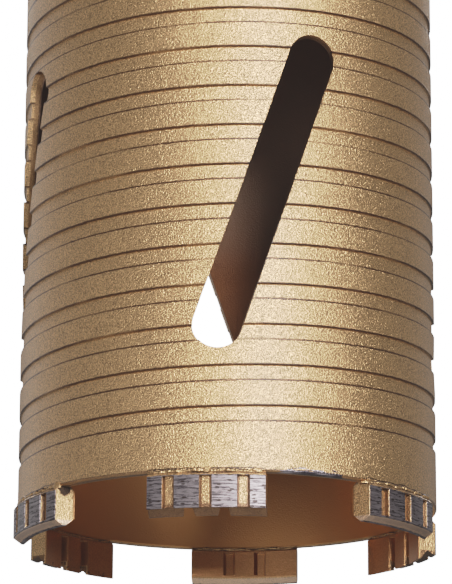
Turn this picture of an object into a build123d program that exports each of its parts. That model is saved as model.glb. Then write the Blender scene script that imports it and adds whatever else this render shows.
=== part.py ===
from build123d import *
import os
from math import cos, degrees, radians, sin

# Dry diamond core bit: a slotted steel barrel with a chip groove wound round it, six diamond
# segments welded under its rim, and a back plate that carries a hub threaded for the drill.
# Millimetres, +Z up the axis, origin on the axis at the level of the segments' lowest edges.
# Angles are degrees round the axis from the slot that faces -Y, growing towards +X.

# Barrel
barrel_outer_r = 45.0
barrel_wall = 2.4
barrel_length = 150.0
rim_chamfer = 0.35

# Chip groove, a right-hand helix
groove_pitch = 8.52
groove_width = 3.2
groove_depth = 0.55
groove_lower_flank = 0.3       # how much of the width each flank takes
groove_upper_flank = 0.12
groove_start_height = 8.5      # above the rim, to the middle of the groove
groove_start_angle = -155.0
groove_top_margin = 38.0       # plain barrel left above the last turn
groove_end_relief = 0.1        # how much wider and deeper the round ends are than the groove

# Slots through the barrel
slot_count = 4
slot_width = 10.0
slot_centres = 61.5            # between the centres of a slot's round ends
slot_lean = 18.8               # degrees from upright, leaning the way the groove climbs
slot_middle_height = 59.65     # above the rim

# Diamond segments, alternately with a roof and with a valley along the cutting edge
segment_count = 6
segment_length = 24.0
segment_stand_out = 1.0        # how far a segment's face stands out from the barrel's
segment_thickness = 4.2
segment_phase = -15.6          # the first segment's middle, from the front slot

# Drops are measured down from the rim
valley_inner_drop = 8.6
valley_outer_drop = 7.6
valley_floor_drop = 6.7
roof_ridge_drop = 8.2
roof_outer_drop = 7.0
roof_inner_drop = 6.6
ridge_flat = 0.5
segment_foot_chamfer = 0.85    # narrows a segment's foot to about the barrel's wall

# Flutes down the faces of the segments, with the inner ones staggered between the outer ones
flute_pitch = 7.7
outer_flute_count = 3
outer_flute_width = 2.6
outer_flute_depth = 1.0
inner_flute_count = 2
inner_flute_width = 2.7
inner_flute_depth = 1.8
flute_lean = 0.3               # how far a flute's side leans in for each mm of depth
flute_top_margin = 1.0
roof_flute_margin = 0.3        # rib left between a flute and the roof

# Back plate
plate_thickness = 6.0
plate_chamfer = 1.2
plate_spigot_depth = 2.0
plate_spigot_clearance = 0.1

# Hub
hub_foot_r = 20.0
hub_foot_height = 5.0
hub_r = 17.0
hub_height = 30.0              # above the back plate
hub_spigot_r = 14.0
hub_spigot_clearance = 0.1
hub_root = 1.5                 # cone between the foot and the body
hub_chamfer = 1.0
spanner_width = 30.0
spanner_height = 14.0
spanner_margin = 5.0           # between the flats and the hub's top face
thread_bore_r = 9.3155         # minor radius of a G 1/2 thread
thread_mouth = 1.2845          # chamfer at the bore's top, as wide as it is deep

# Worked out from the values above
barrel_inner_r = barrel_outer_r - barrel_wall
rim_z = max(valley_inner_drop, roof_ridge_drop)
barrel_top_z = rim_z + barrel_length
segment_outer_r = barrel_outer_r + segment_stand_out
segment_inner_r = segment_outer_r - segment_thickness
segment_middle_r = segment_outer_r - segment_thickness / 2
plate_top_z = barrel_top_z + plate_thickness
hub_top_z = plate_top_z + hub_height
overrun = 1.0                  # how far a cutter runs past what it cuts

os.makedirs("parts", exist_ok=True)


def wall_plane(angle, height=0.0):
    """A plane through the axis that faces outward at an angle, with its y upright."""
    turn = radians(angle)
    return Plane(
        origin=(0, 0, height),
        x_dir=(cos(turn), sin(turn), 0),
        z_dir=(sin(turn), -cos(turn), 0),
    )


def flute_sections(face_r, count, width, depth):
    """Sections of flutes spread about the front; depth is negative for flutes in a bore's face."""
    step = degrees(flute_pitch / segment_outer_r)
    spread = step * (count - 1)
    lean = flute_lean * abs(depth)
    outside = overrun if depth > 0 else -overrun
    with PolarLocations(face_r, count, start_angle=-90 - spread / 2, angular_range=step * count):
        Polygon(
            (outside, -width / 2),
            (0, -width / 2),
            (-depth, -width / 2 + lean),
            (-depth, width / 2 - lean),
            (0, width / 2),
            (outside, width / 2),
            align=None,
        )


with BuildPart() as barrel:
    with BuildSketch(Plane.XY.offset(rim_z)):
        Circle(barrel_outer_r)
        Circle(barrel_inner_r, mode=Mode.SUBTRACT)
    extrude(amount=barrel_length)
    rim_edges = barrel.edges().filter_by(GeomType.CIRCLE).group_by(Axis.Z)[0]
    chamfer(rim_edges, rim_chamfer)

    # The groove's section is swept up a helix, and a round cut clears it at the start and the end
    groove_rise = barrel_length - groove_start_height - groove_top_margin
    groove_climb = 360 * groove_rise / groove_pitch
    groove_ends = [
        wall_plane(groove_start_angle, rim_z + groove_start_height),
        wall_plane(groove_start_angle + groove_climb, rim_z + groove_start_height + groove_rise),
    ]
    start_plane = Plane(groove_ends[0].origin, x_dir=groove_ends[0].z_dir)
    groove_path = start_plane * Helix(groove_pitch, groove_rise, barrel_outer_r)
    with BuildSketch(Plane(groove_path @ 0, x_dir=start_plane.x_dir, z_dir=groove_path % 0)):
        half = groove_width / 2
        with BuildLine():
            Polyline(
                (groove_depth, -half - groove_lower_flank),
                (-groove_depth, -half + groove_lower_flank),
                (-groove_depth, half - groove_upper_flank),
                (groove_depth, half + groove_upper_flank),
                close=True,
            )
        make_face()
    sweep(path=groove_path, is_frenet=True, mode=Mode.SUBTRACT)
    for end_plane in groove_ends:
        with BuildSketch(end_plane.offset(barrel_outer_r - groove_depth - groove_end_relief)):
            Circle(half + groove_end_relief)
        extrude(amount=groove_depth + overrun, mode=Mode.SUBTRACT)

    slot_planes = [wall_plane(360 / slot_count * n, rim_z) for n in range(slot_count)]
    with BuildSketch(*slot_planes):
        with Locations((0, slot_middle_height)):
            SlotCenterToCenter(slot_centres, slot_width, rotation=90 - slot_lean)
    extrude(amount=barrel_outer_r + overrun, mode=Mode.SUBTRACT)
barrel.part.label = "barrel"
export_step(barrel.part, "parts/barrel.step")

# Both kinds of segment are turned to their section, sawn to length and then fluted
with BuildPart() as roof_segment:
    with BuildSketch(Plane.XZ):
        with BuildLine():
            Polyline(
                (segment_inner_r, rim_z - segment_foot_chamfer),
                (segment_inner_r + segment_foot_chamfer, rim_z),
                (segment_outer_r - segment_foot_chamfer, rim_z),
                (segment_outer_r, rim_z - segment_foot_chamfer),
                (segment_outer_r, rim_z - roof_outer_drop),
                (segment_middle_r + ridge_flat / 2, rim_z - roof_ridge_drop),
                (segment_middle_r - ridge_flat / 2, rim_z - roof_ridge_drop),
                (segment_inner_r, rim_z - roof_inner_drop),
                close=True,
            )
        make_face()
    revolve(axis=Axis.Z)
    with BuildSketch(Plane.XY.offset(rim_z)):
        with Locations((0, -segment_middle_r)):
            Rectangle(segment_length, segment_middle_r)
    extrude(amount=-2 * rim_z, mode=Mode.INTERSECT)
    with BuildSketch(Plane.XY.offset(rim_z - flute_top_margin)):
        flute_sections(segment_outer_r, outer_flute_count, outer_flute_width, outer_flute_depth)
    extrude(amount=flute_top_margin + roof_flute_margin - roof_outer_drop, mode=Mode.SUBTRACT)
    with BuildSketch(Plane.XY.offset(rim_z - flute_top_margin)):
        flute_sections(segment_inner_r, inner_flute_count, inner_flute_width, -inner_flute_depth)
    extrude(amount=flute_top_margin + roof_flute_margin - roof_inner_drop, mode=Mode.SUBTRACT)

with BuildPart() as valley_segment:
    with BuildSketch(Plane.XZ):
        with BuildLine():
            Polyline(
                (segment_inner_r, rim_z - segment_foot_chamfer),
                (segment_inner_r + segment_foot_chamfer, rim_z),
                (segment_outer_r - segment_foot_chamfer, rim_z),
                (segment_outer_r, rim_z - segment_foot_chamfer),
                (segment_outer_r, rim_z - valley_outer_drop),
                (segment_outer_r - ridge_flat, rim_z - valley_outer_drop),
                (segment_middle_r, rim_z - valley_floor_drop),
                (segment_inner_r + ridge_flat, rim_z - valley_inner_drop),
                (segment_inner_r, rim_z - valley_inner_drop),
                close=True,
            )
        make_face()
    revolve(axis=Axis.Z)
    with BuildSketch(Plane.XY.offset(rim_z)):
        with Locations((0, -segment_middle_r)):
            Rectangle(segment_length, segment_middle_r)
    extrude(amount=-2 * rim_z, mode=Mode.INTERSECT)
    with BuildSketch(Plane.XY.offset(rim_z - flute_top_margin)):
        flute_sections(segment_outer_r, outer_flute_count, outer_flute_width, outer_flute_depth)
        flute_sections(segment_inner_r, inner_flute_count, inner_flute_width, -inner_flute_depth)
    extrude(amount=-2 * rim_z, mode=Mode.SUBTRACT)

for n in range(segment_count):
    kind, shape = ("valley", valley_segment) if n % 2 == 0 else ("roof", roof_segment)
    segment = shape.part.rotate(Axis.Z, segment_phase + 360 / segment_count * n)
    segment.label = f"{kind}_segment_{n // 2 + 1}"
    export_step(segment, f"parts/{segment.label}.step")

with BuildPart() as back_plate:
    with BuildSketch(Plane.XY.offset(barrel_top_z)):
        Circle(barrel_outer_r)
    extrude(amount=plate_thickness)
    chamfer(back_plate.edges().filter_by(GeomType.CIRCLE), plate_chamfer)
    with BuildSketch(Plane.XY.offset(barrel_top_z - plate_spigot_depth)):
        Circle(barrel_inner_r - plate_spigot_clearance)
    extrude(amount=plate_spigot_depth + plate_chamfer)
    with BuildSketch(Plane.XY.offset(plate_top_z)):
        Circle(hub_spigot_r + hub_spigot_clearance)
    extrude(amount=-plate_thickness - plate_spigot_depth, mode=Mode.SUBTRACT)
back_plate.part.label = "back_plate"
export_step(back_plate.part, "parts/back_plate.step")

with BuildPart() as hub:
    with BuildSketch(Plane.XZ):
        with BuildLine():
            Polyline(
                (thread_bore_r, barrel_top_z - plate_spigot_depth),
                (hub_spigot_r, barrel_top_z - plate_spigot_depth),
                (hub_spigot_r, plate_top_z),
                (hub_foot_r, plate_top_z),
                (hub_foot_r, plate_top_z + hub_foot_height),
                (hub_r + hub_root, plate_top_z + hub_foot_height),
                (hub_r, plate_top_z + hub_foot_height + hub_root),
                (hub_r, hub_top_z - hub_chamfer),
                (hub_r - hub_chamfer, hub_top_z),
                (thread_bore_r + thread_mouth, hub_top_z),
                (thread_bore_r, hub_top_z - thread_mouth),
                close=True,
            )
        make_face()
    revolve(axis=Axis.Z)
    with BuildSketch(Plane.XY.offset(hub_top_z - spanner_margin)):
        Rectangle(4 * hub_r, 4 * hub_r)
        Rectangle(spanner_width, 4 * hub_r, mode=Mode.SUBTRACT)
    extrude(amount=-spanner_height, mode=Mode.SUBTRACT)
hub.part.label = "hub"
export_step(hub.part, "parts/hub.step")
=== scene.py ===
import bmesh
import bpy
import math
from mathutils import Matrix, Vector, noise


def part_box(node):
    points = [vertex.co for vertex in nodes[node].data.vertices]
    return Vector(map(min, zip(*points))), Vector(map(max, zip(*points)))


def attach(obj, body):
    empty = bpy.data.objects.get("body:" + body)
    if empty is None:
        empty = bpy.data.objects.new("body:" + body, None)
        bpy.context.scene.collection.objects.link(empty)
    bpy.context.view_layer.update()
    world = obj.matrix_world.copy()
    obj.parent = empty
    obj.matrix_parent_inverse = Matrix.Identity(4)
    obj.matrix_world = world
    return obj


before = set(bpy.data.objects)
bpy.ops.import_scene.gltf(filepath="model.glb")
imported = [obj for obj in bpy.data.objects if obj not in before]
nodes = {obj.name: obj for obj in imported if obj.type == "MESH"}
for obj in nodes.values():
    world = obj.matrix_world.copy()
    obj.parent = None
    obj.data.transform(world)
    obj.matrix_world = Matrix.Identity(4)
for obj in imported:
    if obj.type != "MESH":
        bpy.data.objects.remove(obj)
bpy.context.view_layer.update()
scene = bpy.context.scene
mm = 0.001
print("frame loaded:", len(nodes), "nodes")

# heights come from the solids, so paint and beads land where the pieces are
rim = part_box("barrel")[0].z
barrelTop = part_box("barrel")[1].z
barrelLength = (barrelTop - rim) / mm
plateHeight = (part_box("back_plate")[1].z - rim) / mm


# angle in degrees from the front slot towards +X, radius and height above the rim in mm
def atPoint(angle, radius, height):
    turn = math.radians(angle)
    return Vector((math.sin(turn) * radius * mm, -math.cos(turn) * radius * mm, rim + height * mm))


cameraSetup = {
    "turn": math.radians(-10.1),        # round the axis, from the middle of the front slot
    "distance": 644.1 * mm,
    "belowRim": 125.07 * mm,
    "lookUp": math.radians(13.68),
    "roll": math.radians(0.185),
    "lens": 187.8,
    "sensor": 36,
    "shift": (-0.0027, 0.1338),
    "farthest": 50,
}


def addCamera(setup):
    data = bpy.data.cameras.new("camera")
    data.sensor_width = setup["sensor"]
    data.lens = setup["lens"]
    data.shift_x, data.shift_y = setup["shift"]
    data.clip_end = setup["farthest"]
    camera = bpy.data.objects.new("camera", data)
    turn = Matrix.Rotation(setup["turn"], 4, "Z")
    place = turn @ Vector((0, -setup["distance"], rim - setup["belowRim"]))
    look = Matrix.Rotation(math.pi / 2 + setup["lookUp"], 4, "X")
    roll = Matrix.Rotation(setup["roll"], 4, "Z")
    camera.matrix_world = Matrix.Translation(place) @ turn @ look @ roll
    scene.collection.objects.link(camera)
    scene.camera = camera


addCamera(cameraSetup)
print("camera placed")

# azimuth is round from the camera, to the right; sizes and distances in metres
studio = {
    "floorSize": 8.0,
    "floorColour": (0.82, 0.81, 0.79, 1),
    "floorRoughness": 0.9,
    "floorGlow": 1.1,
    "skyColour": (0.97, 0.98, 1.0, 1),
    "skyStrength": 0.08,
    "whiteLevel": 6.0,
    "haze": 0.012,
    # film-like response: scene light against what is shown, both linear
    "response": ((0.24, 0.227), (0.48, 0.381), (0.8, 0.533), (2.0, 0.753), (3.3, 0.871)),
    "softboxes": {
        "key": dict(azimuth=19.5, elevation=10.5, distance=1.3, size=(0.60, 0.5), power=31),
        "front": dict(azimuth=-35, elevation=-13, distance=1.1, size=(0.9, 0.35), power=3.0),
        "below": dict(azimuth=0, elevation=-80, distance=0.9, size=(1.2, 1.2), power=3.0),
        "fill": dict(azimuth=-80, elevation=12, distance=1.3, size=(0.8, 0.7), power=0.4),
        "left": dict(azimuth=-130, elevation=0, distance=1.5, size=(1.3, 1.8), power=5.2),
        "back": dict(azimuth=180, elevation=38, distance=1.3, size=(1.0, 0.6), power=14),
        "top": dict(azimuth=60, elevation=72, distance=1.2, size=(0.8, 0.8), power=9),
        "right": dict(azimuth=142, elevation=12, distance=1.5, size=(0.8, 1.6), power=1.1),
    },
}


def addSoftbox(name, azimuth, elevation, distance, size, power):
    data = bpy.data.lights.new(name, "AREA")
    data.shape = "RECTANGLE"
    data.size, data.size_y = size
    data.energy = power
    lamp = bpy.data.objects.new(name, data)
    middle = Matrix.Translation((0, 0, (rim + barrelTop) / 2))
    turn = Matrix.Rotation(cameraSetup["turn"] + math.radians(azimuth), 4, "Z")
    tilt = Matrix.Rotation(math.pi / 2 - math.radians(elevation), 4, "X")
    lamp.matrix_world = middle @ turn @ tilt @ Matrix.Translation((0, 0, distance))
    lamp.visible_camera = False
    scene.collection.objects.link(lamp)


# pale paper that shows from above only, because the camera looks up from below it
def makeFloorPaper(setup):
    paper = bpy.data.materials.new("floorPaper")
    paper.use_nodes = True
    tree = paper.node_tree
    top = tree.nodes["Principled BSDF"]
    top.inputs["Base Color"].default_value = setup["floorColour"]
    top.inputs["Roughness"].default_value = setup["floorRoughness"]
    top.inputs["Emission Color"].default_value = setup["floorColour"]
    top.inputs["Emission Strength"].default_value = setup["floorGlow"]
    side = tree.nodes.new("ShaderNodeNewGeometry")
    clear = tree.nodes.new("ShaderNodeBsdfTransparent")
    mix = tree.nodes.new("ShaderNodeMixShader")
    tree.links.new(side.outputs["Backfacing"], mix.inputs[0])
    tree.links.new(top.outputs[0], mix.inputs[1])
    tree.links.new(clear.outputs[0], mix.inputs[2])
    tree.links.new(mix.outputs[0], tree.nodes["Material Output"].inputs["Surface"])
    return paper


# the floor takes the tool's shadow and throws nothing back
def addFloor(setup):
    shop = bmesh.new()
    bmesh.ops.create_grid(shop, x_segments=1, y_segments=1, size=setup["floorSize"] / 2)
    mesh = bpy.data.meshes.new("floor")
    shop.to_mesh(mesh)
    shop.free()
    mesh.materials.append(makeFloorPaper(setup))
    floor = bpy.data.objects.new("floor", mesh)
    scene.collection.objects.link(floor)
    floor.visible_diffuse = floor.visible_glossy = False
    floor.visible_transmission = floor.visible_shadow = False


# white seen directly, a dim even sky for everything else
def addSky(setup):
    world = bpy.data.worlds.new("studio")
    world.use_nodes = True
    scene.world = world
    tree = world.node_tree
    tree.nodes.clear()
    path = tree.nodes.new("ShaderNodeLightPath")
    dim = tree.nodes.new("ShaderNodeBackground")
    dim.inputs["Color"].default_value = setup["skyColour"]
    dim.inputs["Strength"].default_value = setup["skyStrength"]
    white = tree.nodes.new("ShaderNodeBackground")
    white.inputs["Color"].default_value = (1, 1, 1, 1)
    white.inputs["Strength"].default_value = setup["whiteLevel"]
    mix = tree.nodes.new("ShaderNodeMixShader")
    out = tree.nodes.new("ShaderNodeOutputWorld")
    tree.links.new(path.outputs["Is Camera Ray"], mix.inputs[0])
    tree.links.new(dim.outputs[0], mix.inputs[1])
    tree.links.new(white.outputs[0], mix.inputs[2])
    tree.links.new(mix.outputs[0], out.inputs["Surface"])


def setResponse(setup):
    shown = scene.view_settings
    shown.view_transform = "Standard"
    shown.look = "None"
    shown.use_curve_mapping = True
    mapping = shown.curve_mapping
    mapping.white_level = [setup["whiteLevel"]] * 3
    allColours = mapping.curves[3]
    allColours.points[0].location = (0, setup["haze"])
    for light, level in setup["response"]:
        allColours.points.new(light / setup["whiteLevel"], level)
    mapping.update()


addFloor(studio)
for name, values in studio["softboxes"].items():
    addSoftbox(name, **values)
addSky(studio)
setResponse(studio)
print("studio lit:", len(studio["softboxes"]), "softboxes")


# shader helpers: each one adds a node or two and hands back what they put out
def feed(tree, socket, value):
    if isinstance(value, bpy.types.NodeSocket):
        tree.links.new(value, socket)
    elif value is not None:
        socket.default_value = value


def calc(tree, operation, a, b=None, c=None):
    node = tree.nodes.new("ShaderNodeMath")
    node.operation = operation
    for socket, value in zip(node.inputs, (a, b, c)):
        feed(tree, socket, value)
    return node.outputs[0]


def plus(tree, a, b):
    return calc(tree, "ADD", a, b)


def minus(tree, a, b):
    return calc(tree, "SUBTRACT", a, b)


def times(tree, *values):
    product = values[0]
    for value in values[1:]:
        product = calc(tree, "MULTIPLY", product, value)
    return product


def most(tree, a, b):
    return calc(tree, "MAXIMUM", a, b)


# how far a value is from the middle of something
def awayFrom(tree, value, middle):
    return calc(tree, "ABSOLUTE", minus(tree, value, middle))


def fade(tree, value, start, end, low=0.0, high=1.0):
    node = tree.nodes.new("ShaderNodeMapRange")
    node.interpolation_type = "SMOOTHSTEP"
    for socket, item in zip(node.inputs, (value, start, end, low, high)):
        feed(tree, socket, item)
    return node.outputs[0]


def fadeOut(tree, value, start, end, strength=1.0):
    return fade(tree, value, start, end, strength, 0.0)


def inRange(tree, value, low, high, soft):
    rising = fade(tree, value, low - soft, low + soft)
    falling = fadeOut(tree, value, high - soft, high + soft)
    return times(tree, rising, falling)


def blendColour(tree, factor, a, b):
    node = tree.nodes.new("ShaderNodeMix")
    node.data_type = "RGBA"
    feed(tree, node.inputs[0], factor)
    feed(tree, node.inputs[6], a)
    feed(tree, node.inputs[7], b)
    return node.outputs[2]


def speckle(tree, place, scale, detail=2.0, roughness=0.5):
    node = tree.nodes.new("ShaderNodeTexNoise")
    feed(tree, node.inputs["Vector"], place)
    feed(tree, node.inputs["Scale"], scale)
    node.inputs["Detail"].default_value = detail
    node.inputs["Roughness"].default_value = roughness
    return node.outputs["Fac"]


# noise about nought, to make an edge ragged
def ragged(tree, place, scale, detail, roughness=0.5):
    return minus(tree, speckle(tree, place, scale, detail, roughness), 0.5)


def stretch(tree, place, scale):
    node = tree.nodes.new("ShaderNodeMapping")
    feed(tree, node.inputs["Vector"], place)
    node.inputs["Scale"].default_value = scale
    return node.outputs["Vector"]


def join(tree, x, y, z):
    node = tree.nodes.new("ShaderNodeCombineXYZ")
    for socket, value in zip(node.inputs, (x, y, z)):
        feed(tree, socket, value)
    return node.outputs[0]


def bumpFrom(tree, height):
    node = tree.nodes.new("ShaderNodeBump")
    node.inputs["Strength"].default_value = 1.0
    node.inputs["Distance"].default_value = mm          # so heights are in millimetres
    feed(tree, node.inputs["Height"], height)
    return node.outputs[0]


def newGroup(name, takes, gives):
    group = bpy.data.node_groups.new(name, "ShaderNodeTree")
    for label, kind, value in takes:
        socket = group.interface.new_socket(label, in_out="INPUT", socket_type=kind)
        if value is not None:
            socket.default_value = value
    for label, kind in gives:
        group.interface.new_socket(label, in_out="OUTPUT", socket_type=kind)
    inside = group.nodes.new("NodeGroupInput").outputs
    outside = group.nodes.new("NodeGroupOutput").inputs
    return group, inside, outside


def useGroup(tree, group, **values):
    node = tree.nodes.new("ShaderNodeGroup")
    node.node_tree = group
    for label, value in values.items():
        feed(tree, node.inputs[label], value)
    return node.outputs


# constants go straight to the shader's own sockets, named with _ for a space
def newMaterial(name, **constants):
    material = bpy.data.materials.new(name)
    material.use_nodes = True
    tree = material.node_tree
    shader = tree.nodes["Principled BSDF"]
    for label, value in constants.items():
        shader.inputs[label.replace("_", " ")].default_value = value
    place = tree.nodes.new("ShaderNodeTexCoord").outputs["Object"]
    return material, tree, shader.inputs, place


# where a point is on a round tool: radius and height above the rim in mm, turns round from the front slot
def makePolarPlace():
    group, takes, gives = newGroup(
        "polarPlace", [("Vector", "NodeSocketVector", None)],
        [(label, "NodeSocketFloat") for label in ("Radius", "Turns", "Height")])
    split = group.nodes.new("ShaderNodeSeparateXYZ")
    feed(group, split.inputs[0], takes["Vector"])
    x, y, z = split.outputs
    flat = group.nodes.new("ShaderNodeVectorMath")
    flat.operation = "LENGTH"
    feed(group, flat.inputs[0], join(group, x, y, 0.0))
    angle = calc(group, "ARCTAN2", x, times(group, y, -1))
    feed(group, gives["Radius"], times(group, flat.outputs["Value"], 1 / mm))
    feed(group, gives["Turns"], calc(group, "DIVIDE", angle, 2 * math.pi))
    feed(group, gives["Height"], times(group, minus(group, z, rim), 1 / mm))
    return group


sprayedGrain = {
    "fineScale": 3500,                  # flakes, then cloudiness
    "coarseScale": 130,
    "roughness": 0.6,
    "coarseHeight": 0.6,
}


# metallic grain of sprayed bronze paint: colour and a height for the bump
def makePaintGrain(spray):
    group, takes, gives = newGroup(
        "paintGrain",
        [("Vector", "NodeSocketVector", None), ("Colour", "NodeSocketColor", (0.6, 0.45, 0.27, 1)),
         ("Flake", "NodeSocketFloat", 0.2), ("Mottle", "NodeSocketFloat", 0.1)],
        [("Colour", "NodeSocketColor"), ("Height", "NodeSocketFloat")])
    fine = speckle(group, takes["Vector"], spray["fineScale"], 1, spray["roughness"])
    coarse = speckle(group, takes["Vector"], spray["coarseScale"], 4, spray["roughness"])
    flakes = plus(group, 1.0, times(group, minus(group, fine, 0.5), takes["Flake"]))
    clouds = plus(group, 1.0, times(group, minus(group, coarse, 0.5), takes["Mottle"]))
    scaled = group.nodes.new("ShaderNodeVectorMath")
    scaled.operation = "SCALE"
    feed(group, scaled.inputs[0], takes["Colour"])
    feed(group, scaled.inputs["Scale"], times(group, flakes, clouds))
    feed(group, gives["Colour"], scaled.outputs[0])
    feed(group, gives["Height"], plus(group, fine, times(group, coarse, spray["coarseHeight"])))
    return group


polarPlace = makePolarPlace()
paintGrain = makePaintGrain(sprayedGrain)
paintCoat = {"Metallic": 0.85, "Coat_Roughness": 0.38, "Coat_IOR": 1.5}

# six segments, evenly spaced; angles in degrees from the front slot
segmentPlaces = {
    "first": -15.6,
    "spacing": 60.0,
    "count": 6,
}

# lengths in mm and heights above the rim; a pair is where a mask starts to fade and where it ends
barrelPaint = {
    "colour": (0.60, 0.335, 0.143, 1),
    # edgeColour: painted shade along the groove's edges and under the welds, and a dark line along the rim
    # between segments
    "edgeColour": (0.085, 0.033, 0.013, 1),
    # painted shade: the bore is painted darker and redder than outside, darker still further in, then
    # lighter and greyer near the top
    "insideColour": (0.56, 0.24, 0.078, 1),
    "deepColour": (0.09, 0.028, 0.008, 1),
    "bareInside": (0.43, 0.255, 0.17, 1),
    "cutColour": (0.26, 0.12, 0.045, 1),
    # painted shade for the crease above each segment's weld
    "paintedShadeColour": (0.04, 0.017, 0.008, 1),
    "flake": 2.7,
    "mottle": 0.12,
    "roughness": 0.31,
    "insideRoughness": 0.1,             # added in the bore
    "coat": 0.35,
    "grainDepth": 0.185,
    "smootherInside": 0.65,             # share of the grain's depth lost in the bore
    "outerSkin": (43.5, 44.0),          # radius
    "boreSkin": (42.7, 42.9),
    "boreTop": (0.2, 0.6),              # above the barrel's top edge
    "boreShadeDepth": (22.0, 50.0),           # painted shade: the bore darkens from the mouth inward
    "boreUpperSpan": (63.0, 97.0),
    "boreShadeWaver": 4.0,
    "slotWalls": (42.85, 43.9),         # radius
    "slotWallSoft": 0.08,
    "slotWallFoot": (1.0, 2.0),
    "slotWallShade": 0.75,
    "groovePitch": 8.52,
    "grooveStart": 8.5,
    "grooveRise": 103.5,
    "grooveStartTurns": -155 / 360,
    "grooveWidth": 3.2,
    "upperLine": (0.11, 0.26),          # painted shade on the groove's edges, to each side of the edge
    "lowerLine": (0.20, 0.37),
    "lineStrength": 0.97,
    "lineRag": 0.25,
    "lineBreaks": (0.30, 0.50),
    "faintestLine": 0.45,
    "runOut": 0.1,
    "upperBurr": 0.16,                  # width, and how far outside the edge it stands
    "lowerBurr": 0.14,
    "burrOut": 0.10,
    "burrHeight": 0.07,
    "lowerBurrShare": 0.7,
    "rimWaver": 1.2,
    "gapWaver": 0.35,                   # share of the waver that the gaps' edge takes
    "undercutHeight": 0.68,
    "undercutLine": (0.10, 0.20),
    "undercutReach": (15.0, 15.8),      # degrees from a segment's middle
    "gapReach": (15.0, 15.4),
    "rimLineHeight": 0.48,
    "rimLine": (0.05, 0.16),
    "rimBand": (0.34, 0.44),
    "undercutShade": 0.95,
    "rimLineShade": 0.75,
    "rimBandShade": 0.7,
}

# a patch of the rim that was touched by the grinder
rimScuff = {
    "start": 4.0,                       # degrees from the front slot
    "end": 21.0,
    "soft": 3.0,
    "height": 1.15,
    "ragged": 2.6,
    "edge": (-0.35, -0.15),
    "ends": (0.05, 0.3),
    "raggedScale": (0.22, 2.2),         # to the degree round, to the mm up
    "scratchScale": (0.12, 3.2),
    "scratchEdge": (0.47, 0.56),
    "dark": (0.06, 0.047, 0.054, 1),
    "bright": (0.42, 0.37, 0.40, 1),
}


# painted shade and a thin raised burr along both edges of the wound groove
def grooveEdges(tree, place, polar, paint, outside):
    pitch, half = paint["groovePitch"], paint["grooveWidth"] / 2
    climbed = times(tree, minus(tree, polar["Turns"], paint["grooveStartTurns"]), pitch)
    along = minus(tree, minus(tree, polar["Height"], paint["grooveStart"]), climbed)
    # distance from the middle of the nearest turn
    near = calc(tree, "WRAP", along, pitch / 2, -pitch / 2)
    near = plus(tree, near, times(tree, ragged(tree, place, 700, 3), paint["lineRag"]))
    upper = fadeOut(tree, awayFrom(tree, near, half), *paint["upperLine"], paint["lineStrength"])
    lower = fadeOut(tree, awayFrom(tree, near, -half), *paint["lowerLine"], paint["lineStrength"])
    grooved = inRange(tree, along, -pitch / 2, paint["grooveRise"] + pitch / 2, paint["runOut"])
    broken = fade(tree, speckle(tree, place, 60, 3), *paint["lineBreaks"], paint["faintestLine"], 1.0)
    line = times(tree, times(tree, most(tree, upper, lower), broken), times(tree, outside, grooved))
    out = half + paint["burrOut"]
    burr = most(tree, fadeOut(tree, awayFrom(tree, near, out), 0.0, paint["upperBurr"]),
                fadeOut(tree, awayFrom(tree, near, -out), 0.0, paint["lowerBurr"],
                        paint["lowerBurrShare"]))
    return line, times(tree, burr, outside, grooved, paint["burrHeight"]), broken


# painted shade in the crease above each segment's weld, and the bare edge of the rim between them
def paintRim(tree, place, height, degrees, paint, outside, broken, colour):
    half = segmentPlaces["spacing"] / 2
    turned = calc(tree, "WRAP", minus(tree, degrees, segmentPlaces["first"]), half, -half)
    offSegment = calc(tree, "ABSOLUTE", turned)
    waver = times(tree, ragged(tree, place, 260, 2), paint["rimWaver"])
    slight = times(tree, waver, paint["gapWaver"])
    # painted shade: a dark line in the crease just above each segment's weld
    under = awayFrom(tree, minus(tree, height, waver), paint["undercutHeight"])
    creaseShade = times(tree, fadeOut(tree, under, *paint["undercutLine"]),
                     fadeOut(tree, offSegment, *paint["undercutReach"]), outside, broken)
    colour = blendColour(tree, times(tree, creaseShade, paint["undercutShade"]), colour, paint["paintedShadeColour"])
    offLine = awayFrom(tree, height, plus(tree, paint["rimLineHeight"], slight))
    rimLine = times(tree, fadeOut(tree, offLine, *paint["rimLine"]),
                    fade(tree, offSegment, *paint["gapReach"]), outside)
    colour = blendColour(tree, times(tree, rimLine, paint["rimLineShade"]), colour, paint["edgeColour"])
    band = times(tree, fadeOut(tree, minus(tree, height, slight), *paint["rimBand"]),
                 fade(tree, offSegment, *paint["gapReach"]), outside)
    colour = blendColour(tree, times(tree, band, paint["rimBandShade"]), colour, paint["cutColour"])
    return colour, waver


def scuffRim(tree, height, degrees, patch, outside, colour):
    def streaked(scale, seed):
        return join(tree, times(tree, degrees, scale[0]), times(tree, height, scale[1]), seed)

    width = inRange(tree, degrees, patch["start"], patch["end"], patch["soft"])
    top = plus(tree, times(tree, width, patch["height"]),
               times(tree, ragged(tree, streaked(patch["raggedScale"], 5.0), 1.0, 3), patch["ragged"]))
    scuff = times(tree, fadeOut(tree, minus(tree, height, top), *patch["edge"]),
                  fade(tree, width, *patch["ends"]), outside)
    scratch = speckle(tree, streaked(patch["scratchScale"], 2.0), 1.0, 3)
    bareMetal = blendColour(tree, fade(tree, scratch, *patch["scratchEdge"]), patch["dark"],
                            patch["bright"])
    return blendColour(tree, scuff, colour, bareMetal), scuff


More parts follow.
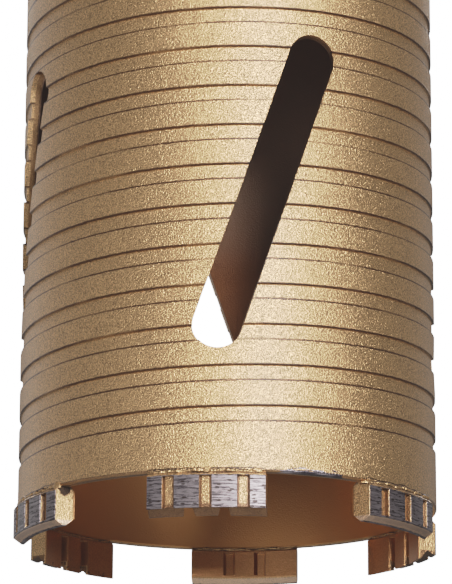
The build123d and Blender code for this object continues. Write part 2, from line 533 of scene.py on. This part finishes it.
def makeBarrelPaint(paint):
    material, tree, shader, place = newMaterial("barrelPaint", **paintCoat)
    polar = useGroup(tree, polarPlace, Vector=place)
    radius, height = polar["Radius"], polar["Height"]
    grain = useGroup(tree, paintGrain, Vector=place, Colour=paint["colour"], Flake=paint["flake"],
                     Mottle=paint["mottle"])
    outside = fade(tree, radius, *paint["outerSkin"])
    line, burr, broken = grooveEdges(tree, place, polar, paint, outside)
    # painted shade: dark lines along both edges of the groove
    colour = blendColour(tree, line, grain["Colour"], paint["edgeColour"])
    degrees = times(tree, polar["Turns"], 360.0)
    colour, waver = paintRim(tree, place, height, degrees, paint, outside, broken, colour)

    boreTop = [barrelLength + above for above in paint["boreTop"]]
    inside = times(tree, fadeOut(tree, radius, *paint["boreSkin"]), fadeOut(tree, height, *boreTop))
    # painted shade in the bore: darker with height above the mouth, then lighter and greyer near the top
    deep = fade(tree, plus(tree, height, times(tree, waver, paint["boreShadeWaver"])), *paint["boreShadeDepth"])
    boreShadeColour = blendColour(tree, deep, paint["insideColour"], paint["deepColour"])
    boreShadeColour = blendColour(tree, fade(tree, height, *paint["boreUpperSpan"]), boreShadeColour, paint["bareInside"])
    colour = blendColour(tree, inside, colour, boreShadeColour)
    cut = times(tree, inRange(tree, radius, *paint["slotWalls"], paint["slotWallSoft"]),
                fade(tree, height, *paint["slotWallFoot"]))
    colour = blendColour(tree, times(tree, cut, paint["slotWallShade"]), colour, paint["cutColour"])
    colour, scuff = scuffRim(tree, height, degrees, rimScuff, outside, colour)

    feed(tree, shader["Base Color"], colour)
    rougher = times(tree, inside, paint["insideRoughness"])
    feed(tree, shader["Roughness"], plus(tree, paint["roughness"], rougher))
    uncoated = times(tree, most(tree, inside, scuff), paint["coat"])
    feed(tree, shader["Coat Weight"], minus(tree, paint["coat"], uncoated))
    smoother = times(tree, inside, paint["grainDepth"] * paint["smootherInside"])
    depth = minus(tree, paint["grainDepth"], smoother)
    feed(tree, shader["Normal"], bumpFrom(tree, plus(tree, times(tree, grain["Height"], depth), burr)))
    return material


def dress(names, material):
    for name in names:
        nodes[name].data.materials.clear()
        nodes[name].data.materials.append(material)


# noise is stretched along the grinding, so a scale is how many to the mm: round the tool, up it
grinding = {
    "wander": 0.5,
    "lines": (0.13, 2.6, 1.0),
    "grit": (0.6, 3.2, 1.0),
    "pitCells": (0.42, 1.25, 1.0),
    "pitless": 0.55,                    # share of the cells with no pit
    "pitEdge": (0.14, 0.24),
    "lineShare": 0.62,
    "pitDepth": 0.8,
}


# streaks left by a grinding wheel that runs round the tool, with longish pits between them
def makeGrindMarks(wheel):
    group, takes, gives = newGroup(
        "grindMarks",
        [(label, "NodeSocketFloat", 0.0) for label in ("Around", "Up", "Seed")],
        [(label, "NodeSocketFloat") for label in ("Streaks", "Pits", "Height")])
    around, seed = takes["Around"], takes["Seed"]
    wander = times(group, ragged(group, join(group, around, takes["Up"], seed), 0.3, 1), wheel["wander"])
    flat = join(group, around, plus(group, takes["Up"], wander), seed)
    lines = speckle(group, stretch(group, flat, wheel["lines"]), 1.0, 4, 0.7)
    grit = speckle(group, stretch(group, flat, wheel["grit"]), 1.0, 3, 0.7)
    cells = group.nodes.new("ShaderNodeTexVoronoi")
    cells.voronoi_dimensions = "2D"
    feed(group, cells.inputs["Vector"], stretch(group, flat, wheel["pitCells"]))
    cells.inputs["Scale"].default_value = 1.0
    parts = group.nodes.new("ShaderNodeSeparateColor")
    feed(group, parts.inputs[0], cells.outputs["Color"])
    chosen = calc(group, "GREATER_THAN", parts.outputs[0], wheel["pitless"])
    pits = times(group, fadeOut(group, cells.outputs["Distance"], *wheel["pitEdge"]), chosen)
    streaks = plus(group, times(group, lines, wheel["lineShare"]),
                   times(group, grit, 1 - wheel["lineShare"]))
    ridges = plus(group, lines, times(group, grit, 0.3))
    feed(group, gives["Streaks"], streaks)
    feed(group, gives["Pits"], pits)
    feed(group, gives["Height"], minus(group, ridges, times(group, pits, wheel["pitDepth"])))
    return group


grindMarks = makeGrindMarks(grinding)

# mm, heights above the rim, radii from the axis and reaches from a segment's middle
segmentFinish = {
    "steel": (0.20, 0.165, 0.171, 1),
    "steelDark": (0.045, 0.034, 0.038, 1),
    "steelLight": (0.28, 0.237, 0.246, 1),
    # painted shade for the flutes' walls, floors and corners
    "fluteShadeColour": (0.12, 0.045, 0.015, 1),
    # dark colour for pits and chips, and for painted shade under the drop and in the corner against the
    # barrel
    "grimeAndShadeColour": (0.035, 0.022, 0.018, 1),
    "veeColour": (0.13, 0.05, 0.018, 1),
    "slopeColour": (0.85, 0.56, 0.40, 1),
    "innerColour": (0.42, 0.15, 0.04, 1),
    "mottle": 0.1,
    "coat": 0.3,
    "coatRoughness": 0.4,
    "darkStreaks": (0.45, 0.50),
    "lightStreaks": (0.53, 0.58),
    "faceRadius": 46.0,
    "bareFace": (45.72, 45.86),
    "bareRag": 0.3,
    "edgeRag": 0.4,
    "rag": 0.5,
    "pitShade": 0.9,
    "footBand": 0.85,
    "footSoft": (-0.12, 0.02),
    "footLine": 0.40,                   # painted shade drawn along the foot, under the weld
    "footLineEdge": (0.12, 0.24),
    "footLineBreaks": (0.38, 0.5),
    "faintestFootLine": 0.4,
    "footLineShade": 0.9,
    "footWaver": 1.3,
    "footSkin": (45.2, 45.3),
    "flutePitch": 7.7,
    "fluteTop": (-1.0, -0.9),
    "outerReach": (10.2, 10.6),
    "outerWalls": (45.08, 45.60),
    "outerFloors": (44.8, 45.15),
    "floorCorner": (0.68, 0.85),        # from a flute's middle
    "innerReach": (5.9, 6.2),
    "innerWalls": (41.95, 43.45),
    "innerFloors": (43.4, 44.3),
    "innerSkin": (42.0, 42.15),
    "innerWallSpan": (-6.45, -1.1),
    "innerFloorSpan": (-6.45, -1.05),
    "wallSoft": 0.05,
    "floorSoft": 0.03,
    "wallShade": 0.85,
    "innerWallShade": 0.6,
    "floorShade": 0.3,
    "innerShade": 0.75,
    "chipSize": (0.60, 0.65),
    "chipSpan": (-0.4, 0.2),            # above the worn edge
    "chipSkin": (45.0, 45.4),
    "chipShade": 0.8,
    "cornerShadeSpan": (-0.62, -0.35),         # painted shade in the corner against the barrel, inside the ring
    "cornerShadeSkin": (43.0, 43.4),
    "cornerShadeStrength": 0.8,
    "grainDepth": 0.16,
    "smootherInside": 0.11,
    "grindDepth": 0.06,
    "bareRoughness": 0.09,              # added on bare steel, and on the painted shade under the heaviest drop
    "underDropRoughness": 0.5,
}

# the cutting edge is worn to bare metal: the outer lip of a valley, the ridge of a roof
# its painted slopes start at "slopes", and lie between two radii in a valley
wornEdges = {
    "valley": dict(height=-7.5, radius=45.3, slopes=(-6.75, -6.55), between=(42.25, 45.5), shade=0.85),
    "roof": dict(height=-8.05, radius=43.0, slopes=(-7.1, -6.9), shade=0.6),
}
wornSoft = {"height": 0.06, "radius": 0.2}

# painted shade: a dark patch for the hollow under the heaviest weld drop
dropHollowShade = {
    "place": dict(angle=-60.5, radius=43.7, height=-0.8),
    "ragged": 0.9,
    "size": (1.1, 1.6),
    "shade": 0.95,
}


# bare steel: the ground outer faces and the worn cutting edge
def bareSteel(tree, radius, height, rag, finish, edge):
    face = fade(tree, plus(tree, radius, times(tree, rag, finish["bareRag"])), *finish["bareFace"])
    foot = [soft - finish["footBand"] for soft in finish["footSoft"]]
    below = fadeOut(tree, plus(tree, height, times(tree, rag, finish["rag"])), *foot)
    lip, lipRadius, soft = edge["height"], edge["radius"], wornSoft["height"]
    low = fadeOut(tree, plus(tree, height, times(tree, rag, finish["edgeRag"])), lip - soft, lip + soft)
    worn = times(tree, low, fade(tree, radius, lipRadius, lipRadius + wornSoft["radius"]))
    return most(tree, times(tree, face, below), worn)


# painted shade in the flutes: on their walls, on the outer floors and in those floors' corners; the ring's
# inner faces are tinted darker and redder
def paintFluteShade(tree, radius, height, off, finish, colour):
    soft, shadeColour = finish["wallSoft"], finish["fluteShadeColour"]
    belowTop = fadeOut(tree, height, *finish["fluteTop"])
    outerFlutes = fadeOut(tree, off, *finish["outerReach"])
    innerFlutes = fadeOut(tree, off, *finish["innerReach"])
    wall = times(tree, inRange(tree, radius, *finish["outerWalls"], soft), outerFlutes, belowTop)
    innerWall = times(tree, inRange(tree, radius, *finish["innerWalls"], soft), innerFlutes,
                      inRange(tree, height, *finish["innerWallSpan"], soft))
    onFloor = inRange(tree, radius, *finish["outerFloors"], finish["floorSoft"])
    aside = calc(tree, "MINIMUM", off, awayFrom(tree, off, finish["flutePitch"]))
    corner = times(tree, fade(tree, aside, *finish["floorCorner"]), onFloor, belowTop, outerFlutes)
    fluteShade = most(tree, most(tree, wall, corner), times(tree, innerWall, finish["innerWallShade"]))
    colour = blendColour(tree, times(tree, fluteShade, finish["wallShade"]), colour, shadeColour)
    floor = times(tree, onFloor, outerFlutes, belowTop)
    colour = blendColour(tree, times(tree, floor, finish["floorShade"]), colour, shadeColour)
    innerFloor = times(tree, inRange(tree, radius, *finish["innerFloors"], soft), innerFlutes,
                       inRange(tree, height, *finish["innerFloorSpan"], soft))
    # painted shade: the ring's inner faces and inner flutes are tinted darker and redder
    inner = most(tree, fadeOut(tree, radius, *finish["innerSkin"]), most(tree, innerWall, innerFloor))
    colour = blendColour(tree, times(tree, inner, finish["innerShade"]), colour, finish["innerColour"])
    return colour, inner


# painted shade: the lower edge of the weld, drawn as a dark line on the foot of the segment
def shadeUnderWeld(tree, place, radius, height, finish, colour):
    waver = times(tree, ragged(tree, place, 330, 3, 0.6), finish["footWaver"])
    offLine = awayFrom(tree, plus(tree, height, finish["footLine"]), waver)
    broken = fade(tree, speckle(tree, place, 200, 2), *finish["footLineBreaks"],
                  finish["faintestFootLine"], 1.0)
    line = times(tree, fadeOut(tree, offLine, *finish["footLineEdge"]),
                 fade(tree, radius, *finish["footSkin"]), broken)
    return blendColour(tree, times(tree, line, finish["footLineShade"]), colour, barrelPaint["edgeColour"])


# painted shade: a dark, rougher, uncoated patch under the heaviest weld drop
def shadeUnderDrop(tree, place, rag, mark, finish, colour):
    spot = tree.nodes.new("ShaderNodeVectorMath")
    spot.operation = "DISTANCE"
    feed(tree, spot.inputs[0], place)
    spot.inputs[1].default_value = atPoint(**mark["place"])
    near = plus(tree, spot.outputs["Value"], times(tree, rag, mark["ragged"] * mm))
    underDrop = fadeOut(tree, near, *[reach * mm for reach in mark["size"]])
    return blendColour(tree, times(tree, underDrop, mark["shade"]), colour, finish["grimeAndShadeColour"]), underDrop


def makeSegmentFinish(name, finish, kind):
    edge = wornEdges[kind]
    material, tree, shader, place = newMaterial(
        name, **dict(paintCoat, Coat_Roughness=finish["coatRoughness"]))
    polar = useGroup(tree, polarPlace, Vector=place)
    radius, turns, height = polar["Radius"], polar["Turns"], polar["Height"]
    grain = useGroup(tree, paintGrain, Vector=place, Colour=barrelPaint["colour"],
                     Flake=barrelPaint["flake"], Mottle=finish["mottle"])
    around = times(tree, turns, 2 * math.pi * finish["faceRadius"])
    # arc from the middle of the nearest segment
    half = segmentPlaces["spacing"] / 2
    turned = calc(tree, "WRAP", minus(tree, times(tree, turns, 360.0), segmentPlaces["first"]), half, -half)
    off = calc(tree, "ABSOLUTE", times(tree, turned, math.radians(finish["faceRadius"])))
    marks = useGroup(tree, grindMarks, Around=around, Up=height, Seed=3.0)
    rag = ragged(tree, place, 900, 3)
    bare = bareSteel(tree, radius, height, rag, finish, edge)

    grimeAndShade = finish["grimeAndShadeColour"]
    steel = blendColour(tree, fade(tree, marks["Streaks"], *finish["darkStreaks"]),
                        finish["steelDark"], finish["steel"])
    steel = blendColour(tree, fade(tree, marks["Streaks"], *finish["lightStreaks"]),
                        steel, finish["steelLight"])
    steel = blendColour(tree, times(tree, marks["Pits"], finish["pitShade"]), steel, grimeAndShade)

    paint, inner = paintFluteShade(tree, radius, height, off, finish, grain["Colour"])
    paint = shadeUnderWeld(tree, place, radius, height, finish, paint)
    # a valley's slopes inside its vee are painted near black, as painted shade; a roof's slopes take their
    # own tan
    slopes = fadeOut(tree, height, *edge["slopes"])
    if kind == "valley":
        slopes = times(tree, slopes, inRange(tree, radius, *edge["between"], finish["wallSoft"]))
    slopeColour = finish["veeColour"] if kind == "valley" else finish["slopeColour"]
    paint = blendColour(tree, times(tree, slopes, edge["shade"]), paint, slopeColour)
    # grit chipped out near the cutting edge
    chipSpan = [edge["height"] + above for above in finish["chipSpan"]]
    chips = times(tree, fade(tree, speckle(tree, place, 900, 3), *finish["chipSize"]),
                  fadeOut(tree, height, *chipSpan), fadeOut(tree, radius, *finish["chipSkin"]))
    paint = blendColour(tree, times(tree, chips, finish["chipShade"]), paint, grimeAndShade)
    paint, underDrop = shadeUnderDrop(tree, place, rag, dropHollowShade, finish, paint)
    # painted shade in the corner against the barrel
    cornerShade = times(tree, fade(tree, plus(tree, height, times(tree, rag, finish["rag"])), *finish["cornerShadeSpan"]),
                 fadeOut(tree, radius, *finish["cornerShadeSkin"]))
    paint = blendColour(tree, times(tree, cornerShade, finish["cornerShadeStrength"]), paint, grimeAndShade)

    feed(tree, shader["Base Color"], blendColour(tree, bare, paint, steel))
    worn = plus(tree, barrelPaint["roughness"], times(tree, bare, finish["bareRoughness"]))
    feed(tree, shader["Roughness"], plus(tree, worn, times(tree, underDrop, finish["underDropRoughness"])))
    uncoated = times(tree, most(tree, bare, underDrop), finish["coat"])
    feed(tree, shader["Coat Weight"], minus(tree, finish["coat"], uncoated))
    depth = minus(tree, finish["grainDepth"], times(tree, inner, finish["smootherInside"]))
    bumps = plus(tree, times(tree, grain["Height"], minus(tree, 1.0, bare), depth),
                 times(tree, marks["Height"], bare, finish["grindDepth"]))
    feed(tree, shader["Normal"], bumpFrom(tree, bumps))
    return material


hubSteel = {
    "colour": (0.52, 0.50, 0.48, 1),
    "lineColour": (0.40, 0.385, 0.37, 1),
    "stainColour": (0.25, 0.21, 0.17, 1),
    "roughness": 0.30,
    "stainRoughness": 0.15,
    "lines": 5.5,                       # to the mm, up the hub and in across its face
    "lineDepth": 0.02,
}


def makeHubSteel(finish):
    material, tree, shader, place = newMaterial("hubSteel", Metallic=1.0)
    polar = useGroup(tree, polarPlace, Vector=place)
    # turning lines run round the hub, a tool's feed apart
    turned = join(tree, times(tree, polar["Turns"], 6.0), times(tree, polar["Height"], finish["lines"]),
                  times(tree, polar["Radius"], finish["lines"]))
    feedLines = speckle(tree, turned, 1.0, 3, 0.6)
    stains = speckle(tree, place, 90, 4, 0.6)
    colour = blendColour(tree, fade(tree, feedLines, 0.3, 0.7), finish["lineColour"], finish["colour"])
    colour = blendColour(tree, fade(tree, stains, 0.52, 0.8, 0.0, 0.5), colour, finish["stainColour"])
    feed(tree, shader["Base Color"], colour)
    feed(tree, shader["Roughness"],
         plus(tree, finish["roughness"], times(tree, stains, finish["stainRoughness"])))
    feed(tree, shader["Normal"], bumpFrom(tree, times(tree, feedLines, finish["lineDepth"])))
    return material


dress(["barrel", "back_plate"], makeBarrelPaint(barrelPaint))
dress([name for name in nodes if name.startswith("valley")],
      makeSegmentFinish("valleySegment", segmentFinish, "valley"))
dress([name for name in nodes if name.startswith("roof")],
      makeSegmentFinish("roofSegment", segmentFinish, "roof"))
dress(["hub"], makeHubSteel(hubSteel))
print("materials made")

weldLook = {
    "flake": 1.4,
    "mottle": 0.6,
    "roughness": 0.30,
    "coat": 0.3,
    "grainDepth": 0.14,
    "edge": (0.40, 0.55),               # where painted shade starts across a bead, in radii
    "paintedShadeColour": (0.045, 0.018, 0.008, 1),
}


def makeWeldPaint(look):
    material, tree, shader, place = newMaterial(
        "weldPaint", Coat_Weight=look["coat"], Roughness=look["roughness"], **paintCoat)
    grain = useGroup(tree, paintGrain, Vector=place, Colour=barrelPaint["colour"], Flake=look["flake"],
                     Mottle=look["mottle"])
    across = tree.nodes.new("ShaderNodeAttribute")
    across.attribute_name = "across"
    edge = fade(tree, calc(tree, "ABSOLUTE", across.outputs["Fac"]), *look["edge"])
    broken = fade(tree, speckle(tree, place, 500, 3), 0.36, 0.46, 0.5, 1.0)
    # painted shade along a bead's edges and under the drops
    colour = blendColour(tree, times(tree, edge, broken), grain["Colour"], look["paintedShadeColour"])
    feed(tree, shader["Base Color"], colour)
    feed(tree, shader["Normal"], bumpFrom(tree, times(tree, grain["Height"], look["grainDepth"])))
    return material


weldPaint = makeWeldPaint(weldLook)


def finishPiece(shop, name):
    bmesh.ops.recalc_face_normals(shop, faces=shop.faces)
    for face in shop.faces:
        face.smooth = True
    mesh = bpy.data.meshes.new(name)
    shop.to_mesh(mesh)
    shop.free()
    mesh.materials.append(weldPaint)
    piece = bpy.data.objects.new(name, mesh)
    scene.collection.objects.link(piece)
    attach(piece, "root")
    return piece


# beads of weld between each segment and the rim, outside and inside
weldSeam = {
    "radius": 0.42,                     # of the bead's own section, mm
    "ringRadius": 45.05,
    "height": 0.02,                     # of its middle above the rim
    "halfLength": 12.1,
    "wave": 0.48,                       # how far it strays up and down
    "swell": 0.9,                       # how much its thickness varies
    "sides": 12,
    "steps": 150,
    "endThickness": 0.45,
    "endTaper": 6,
    "slowLumps": 0.7,                   # to the mm round the tool
    "quickLumps": 2.3,
    "quickShare": 0.6,
    "strays": 0.28,
}
insideWeld = dict(weldSeam, radius=0.30, ringRadius=42.45, height=-0.30, halfLength=11.4, swell=0.8)


# middle of a bead's section at an angle round the tool
def beadCentre(bead, angle):
    ring = bead["ringRadius"] * mm
    return Vector((math.sin(angle) * ring, -math.cos(angle) * ring, rim + bead["height"] * mm))


def addBead(name, bead, middle, halfAngle):
    shop = bmesh.new()
    across = shop.verts.layers.float.new("across")
    thick, height = bead["radius"] * mm, rim + bead["height"] * mm
    stand = Matrix.Translation(beadCentre(bead, 0.0)) @ Matrix.Rotation(math.pi / 2, 4, "Y")
    made = bmesh.ops.create_circle(shop, segments=bead["sides"], radius=thick, matrix=stand)
    full = halfAngle >= math.pi
    bmesh.ops.rotate(shop, verts=made["verts"], matrix=Matrix.Rotation(middle - halfAngle, 3, "Z"))
    bmesh.ops.spin(shop, geom=shop.verts[:] + shop.edges[:], axis=(0, 0, 1), angle=2 * halfAngle,
                   steps=bead["steps"], use_merge=full)
    bmesh.ops.holes_fill(shop, edges=[edge for edge in shop.edges if edge.is_boundary])
    for vert in shop.verts:
        angle = math.atan2(vert.co.x, -vert.co.y)
        centre = beadCentre(bead, angle)
        vert[across] = (vert.co.z - height) / thick
        turned = (angle - middle + math.pi) % (2 * math.pi) - math.pi
        left = 1.0 if full else max(0.0, 1 - abs(turned) / halfAngle)
        taper = min(1.0, bead["endThickness"] + left * bead["endTaper"])
        # slow and quick lumps, then a slower wander up and down
        arc = angle * bead["ringRadius"]
        lumps = noise.noise(Vector((arc * bead["slowLumps"], middle, 3)))
        lumps += bead["quickShare"] * noise.noise(Vector((arc * bead["quickLumps"], middle, 7)))
        lift = bead["wave"] * mm * noise.noise(Vector((arc * bead["strays"], middle, 11)))
        vert.co = centre + (vert.co - centre) * taper * (1 + bead["swell"] * lumps) + Vector((0, 0, lift))
    return finishPiece(shop, name)


for number in range(segmentPlaces["count"]):
    middle = math.radians(segmentPlaces["first"] + segmentPlaces["spacing"] * number)
    for side, bead in (("outer", weldSeam), ("inner", insideWeld)):
        halfAngle = bead["halfLength"] / bead["ringRadius"]
        addBead(f"{side}_weld_{number + 1}", bead, middle, halfAngle)
print("segment welds laid")

# drops of weld metal: where, how far they reach round, out and up (mm), and how lumpy they are
weldDrops = {
    "corner_drop": dict(angle=-61.1, radius=44.95, height=0.0, reach=(1.15, 0.72, 0.95), lumps=0.25),
    "corner_spatter": dict(angle=-64.0, radius=45.2, height=0.15, reach=(0.55, 0.35, 0.45), lumps=0.4),
    "front_drop": dict(angle=-15.3, radius=45.35, height=-0.05, reach=(0.80, 0.55, 0.75), lumps=0.25),
    "front_end_drop": dict(angle=-2.6, radius=45.2, height=0.0, reach=(1.3, 0.45, 0.55), lumps=0.4),
    "right_tongue": dict(angle=29.4, radius=44.4, height=-0.25, reach=(1.5, 1.3, 0.45), lumps=0.35),
    "left_spatter": dict(angle=-82.0, radius=45.15, height=0.35, reach=(0.5, 0.3, 0.35), lumps=0.4),
    "right_spatter": dict(angle=51.0, radius=45.15, height=0.3, reach=(0.6, 0.3, 0.3), lumps=0.4),
    "back_drop": dict(angle=118.5, radius=44.3, height=0.0, reach=(1.1, 1.2, 0.6), lumps=0.3),
    "rear_drop": dict(angle=-151.0, radius=44.3, height=0.0, reach=(1.0, 1.1, 0.6), lumps=0.3),
}


def addDrop(name, angle, radius, height, reach, lumps):
    shop = bmesh.new()
    across = shop.verts.layers.float.new("across")
    bmesh.ops.create_icosphere(shop, subdivisions=4, radius=1.0)
    turn = Matrix.Rotation(math.radians(angle), 4, "Z")
    place = Matrix.Translation(atPoint(angle, radius, height)) @ turn
    for vert in shop.verts:
        # painted shade underneath, clean on top
        vert[across] = -0.95 if vert.co.z < -0.45 else vert.co.z * 0.5
        swell = 1 + lumps * noise.noise(vert.co * 1.3 + Vector((angle, radius, 0)))
        local = Vector((vert.co.x * reach[0], vert.co.y * reach[1], vert.co.z * reach[2])) * swell * mm
        vert.co = place @ local
    return finishPiece(shop, name)


for name, values in weldDrops.items():
    addDrop(name, **values)
print("weld drops added:", len(weldDrops))

# full rings of weld round the plate's edge and the hub's foot, with even ripples
ringWelds = {
    "plate_weld": dict(weldSeam, radius=0.75, ringRadius=44.35, height=barrelLength + 0.35, wave=0.16,
                       swell=0.25, steps=360, ripples=170, rippleDepth=0.16, slotName="plate_paint"),
    "hub_weld": dict(weldSeam, radius=1.25, ringRadius=20.35, height=plateHeight + 0.15, wave=0.16,
                     swell=0.25, steps=220, ripples=64, rippleDepth=0.16, slotName="hub_steel"),
}


def addRipples(piece, bead):
    for vert in piece.data.vertices:
        angle = math.atan2(vert.co.x, -vert.co.y)
        centre = beadCentre(bead, angle)
        out = vert.co - centre
        lean = out.z / (bead["radius"] * mm) * 0.5
        ripple = abs(math.sin(angle * bead["ripples"] / 2 + lean))
        vert.co = centre + out * (1 - bead["rippleDepth"] * (1 - ripple))


for name, bead in ringWelds.items():
    addRipples(addBead(name, bead, 0.0, math.pi), bead)
print("ring welds laid")
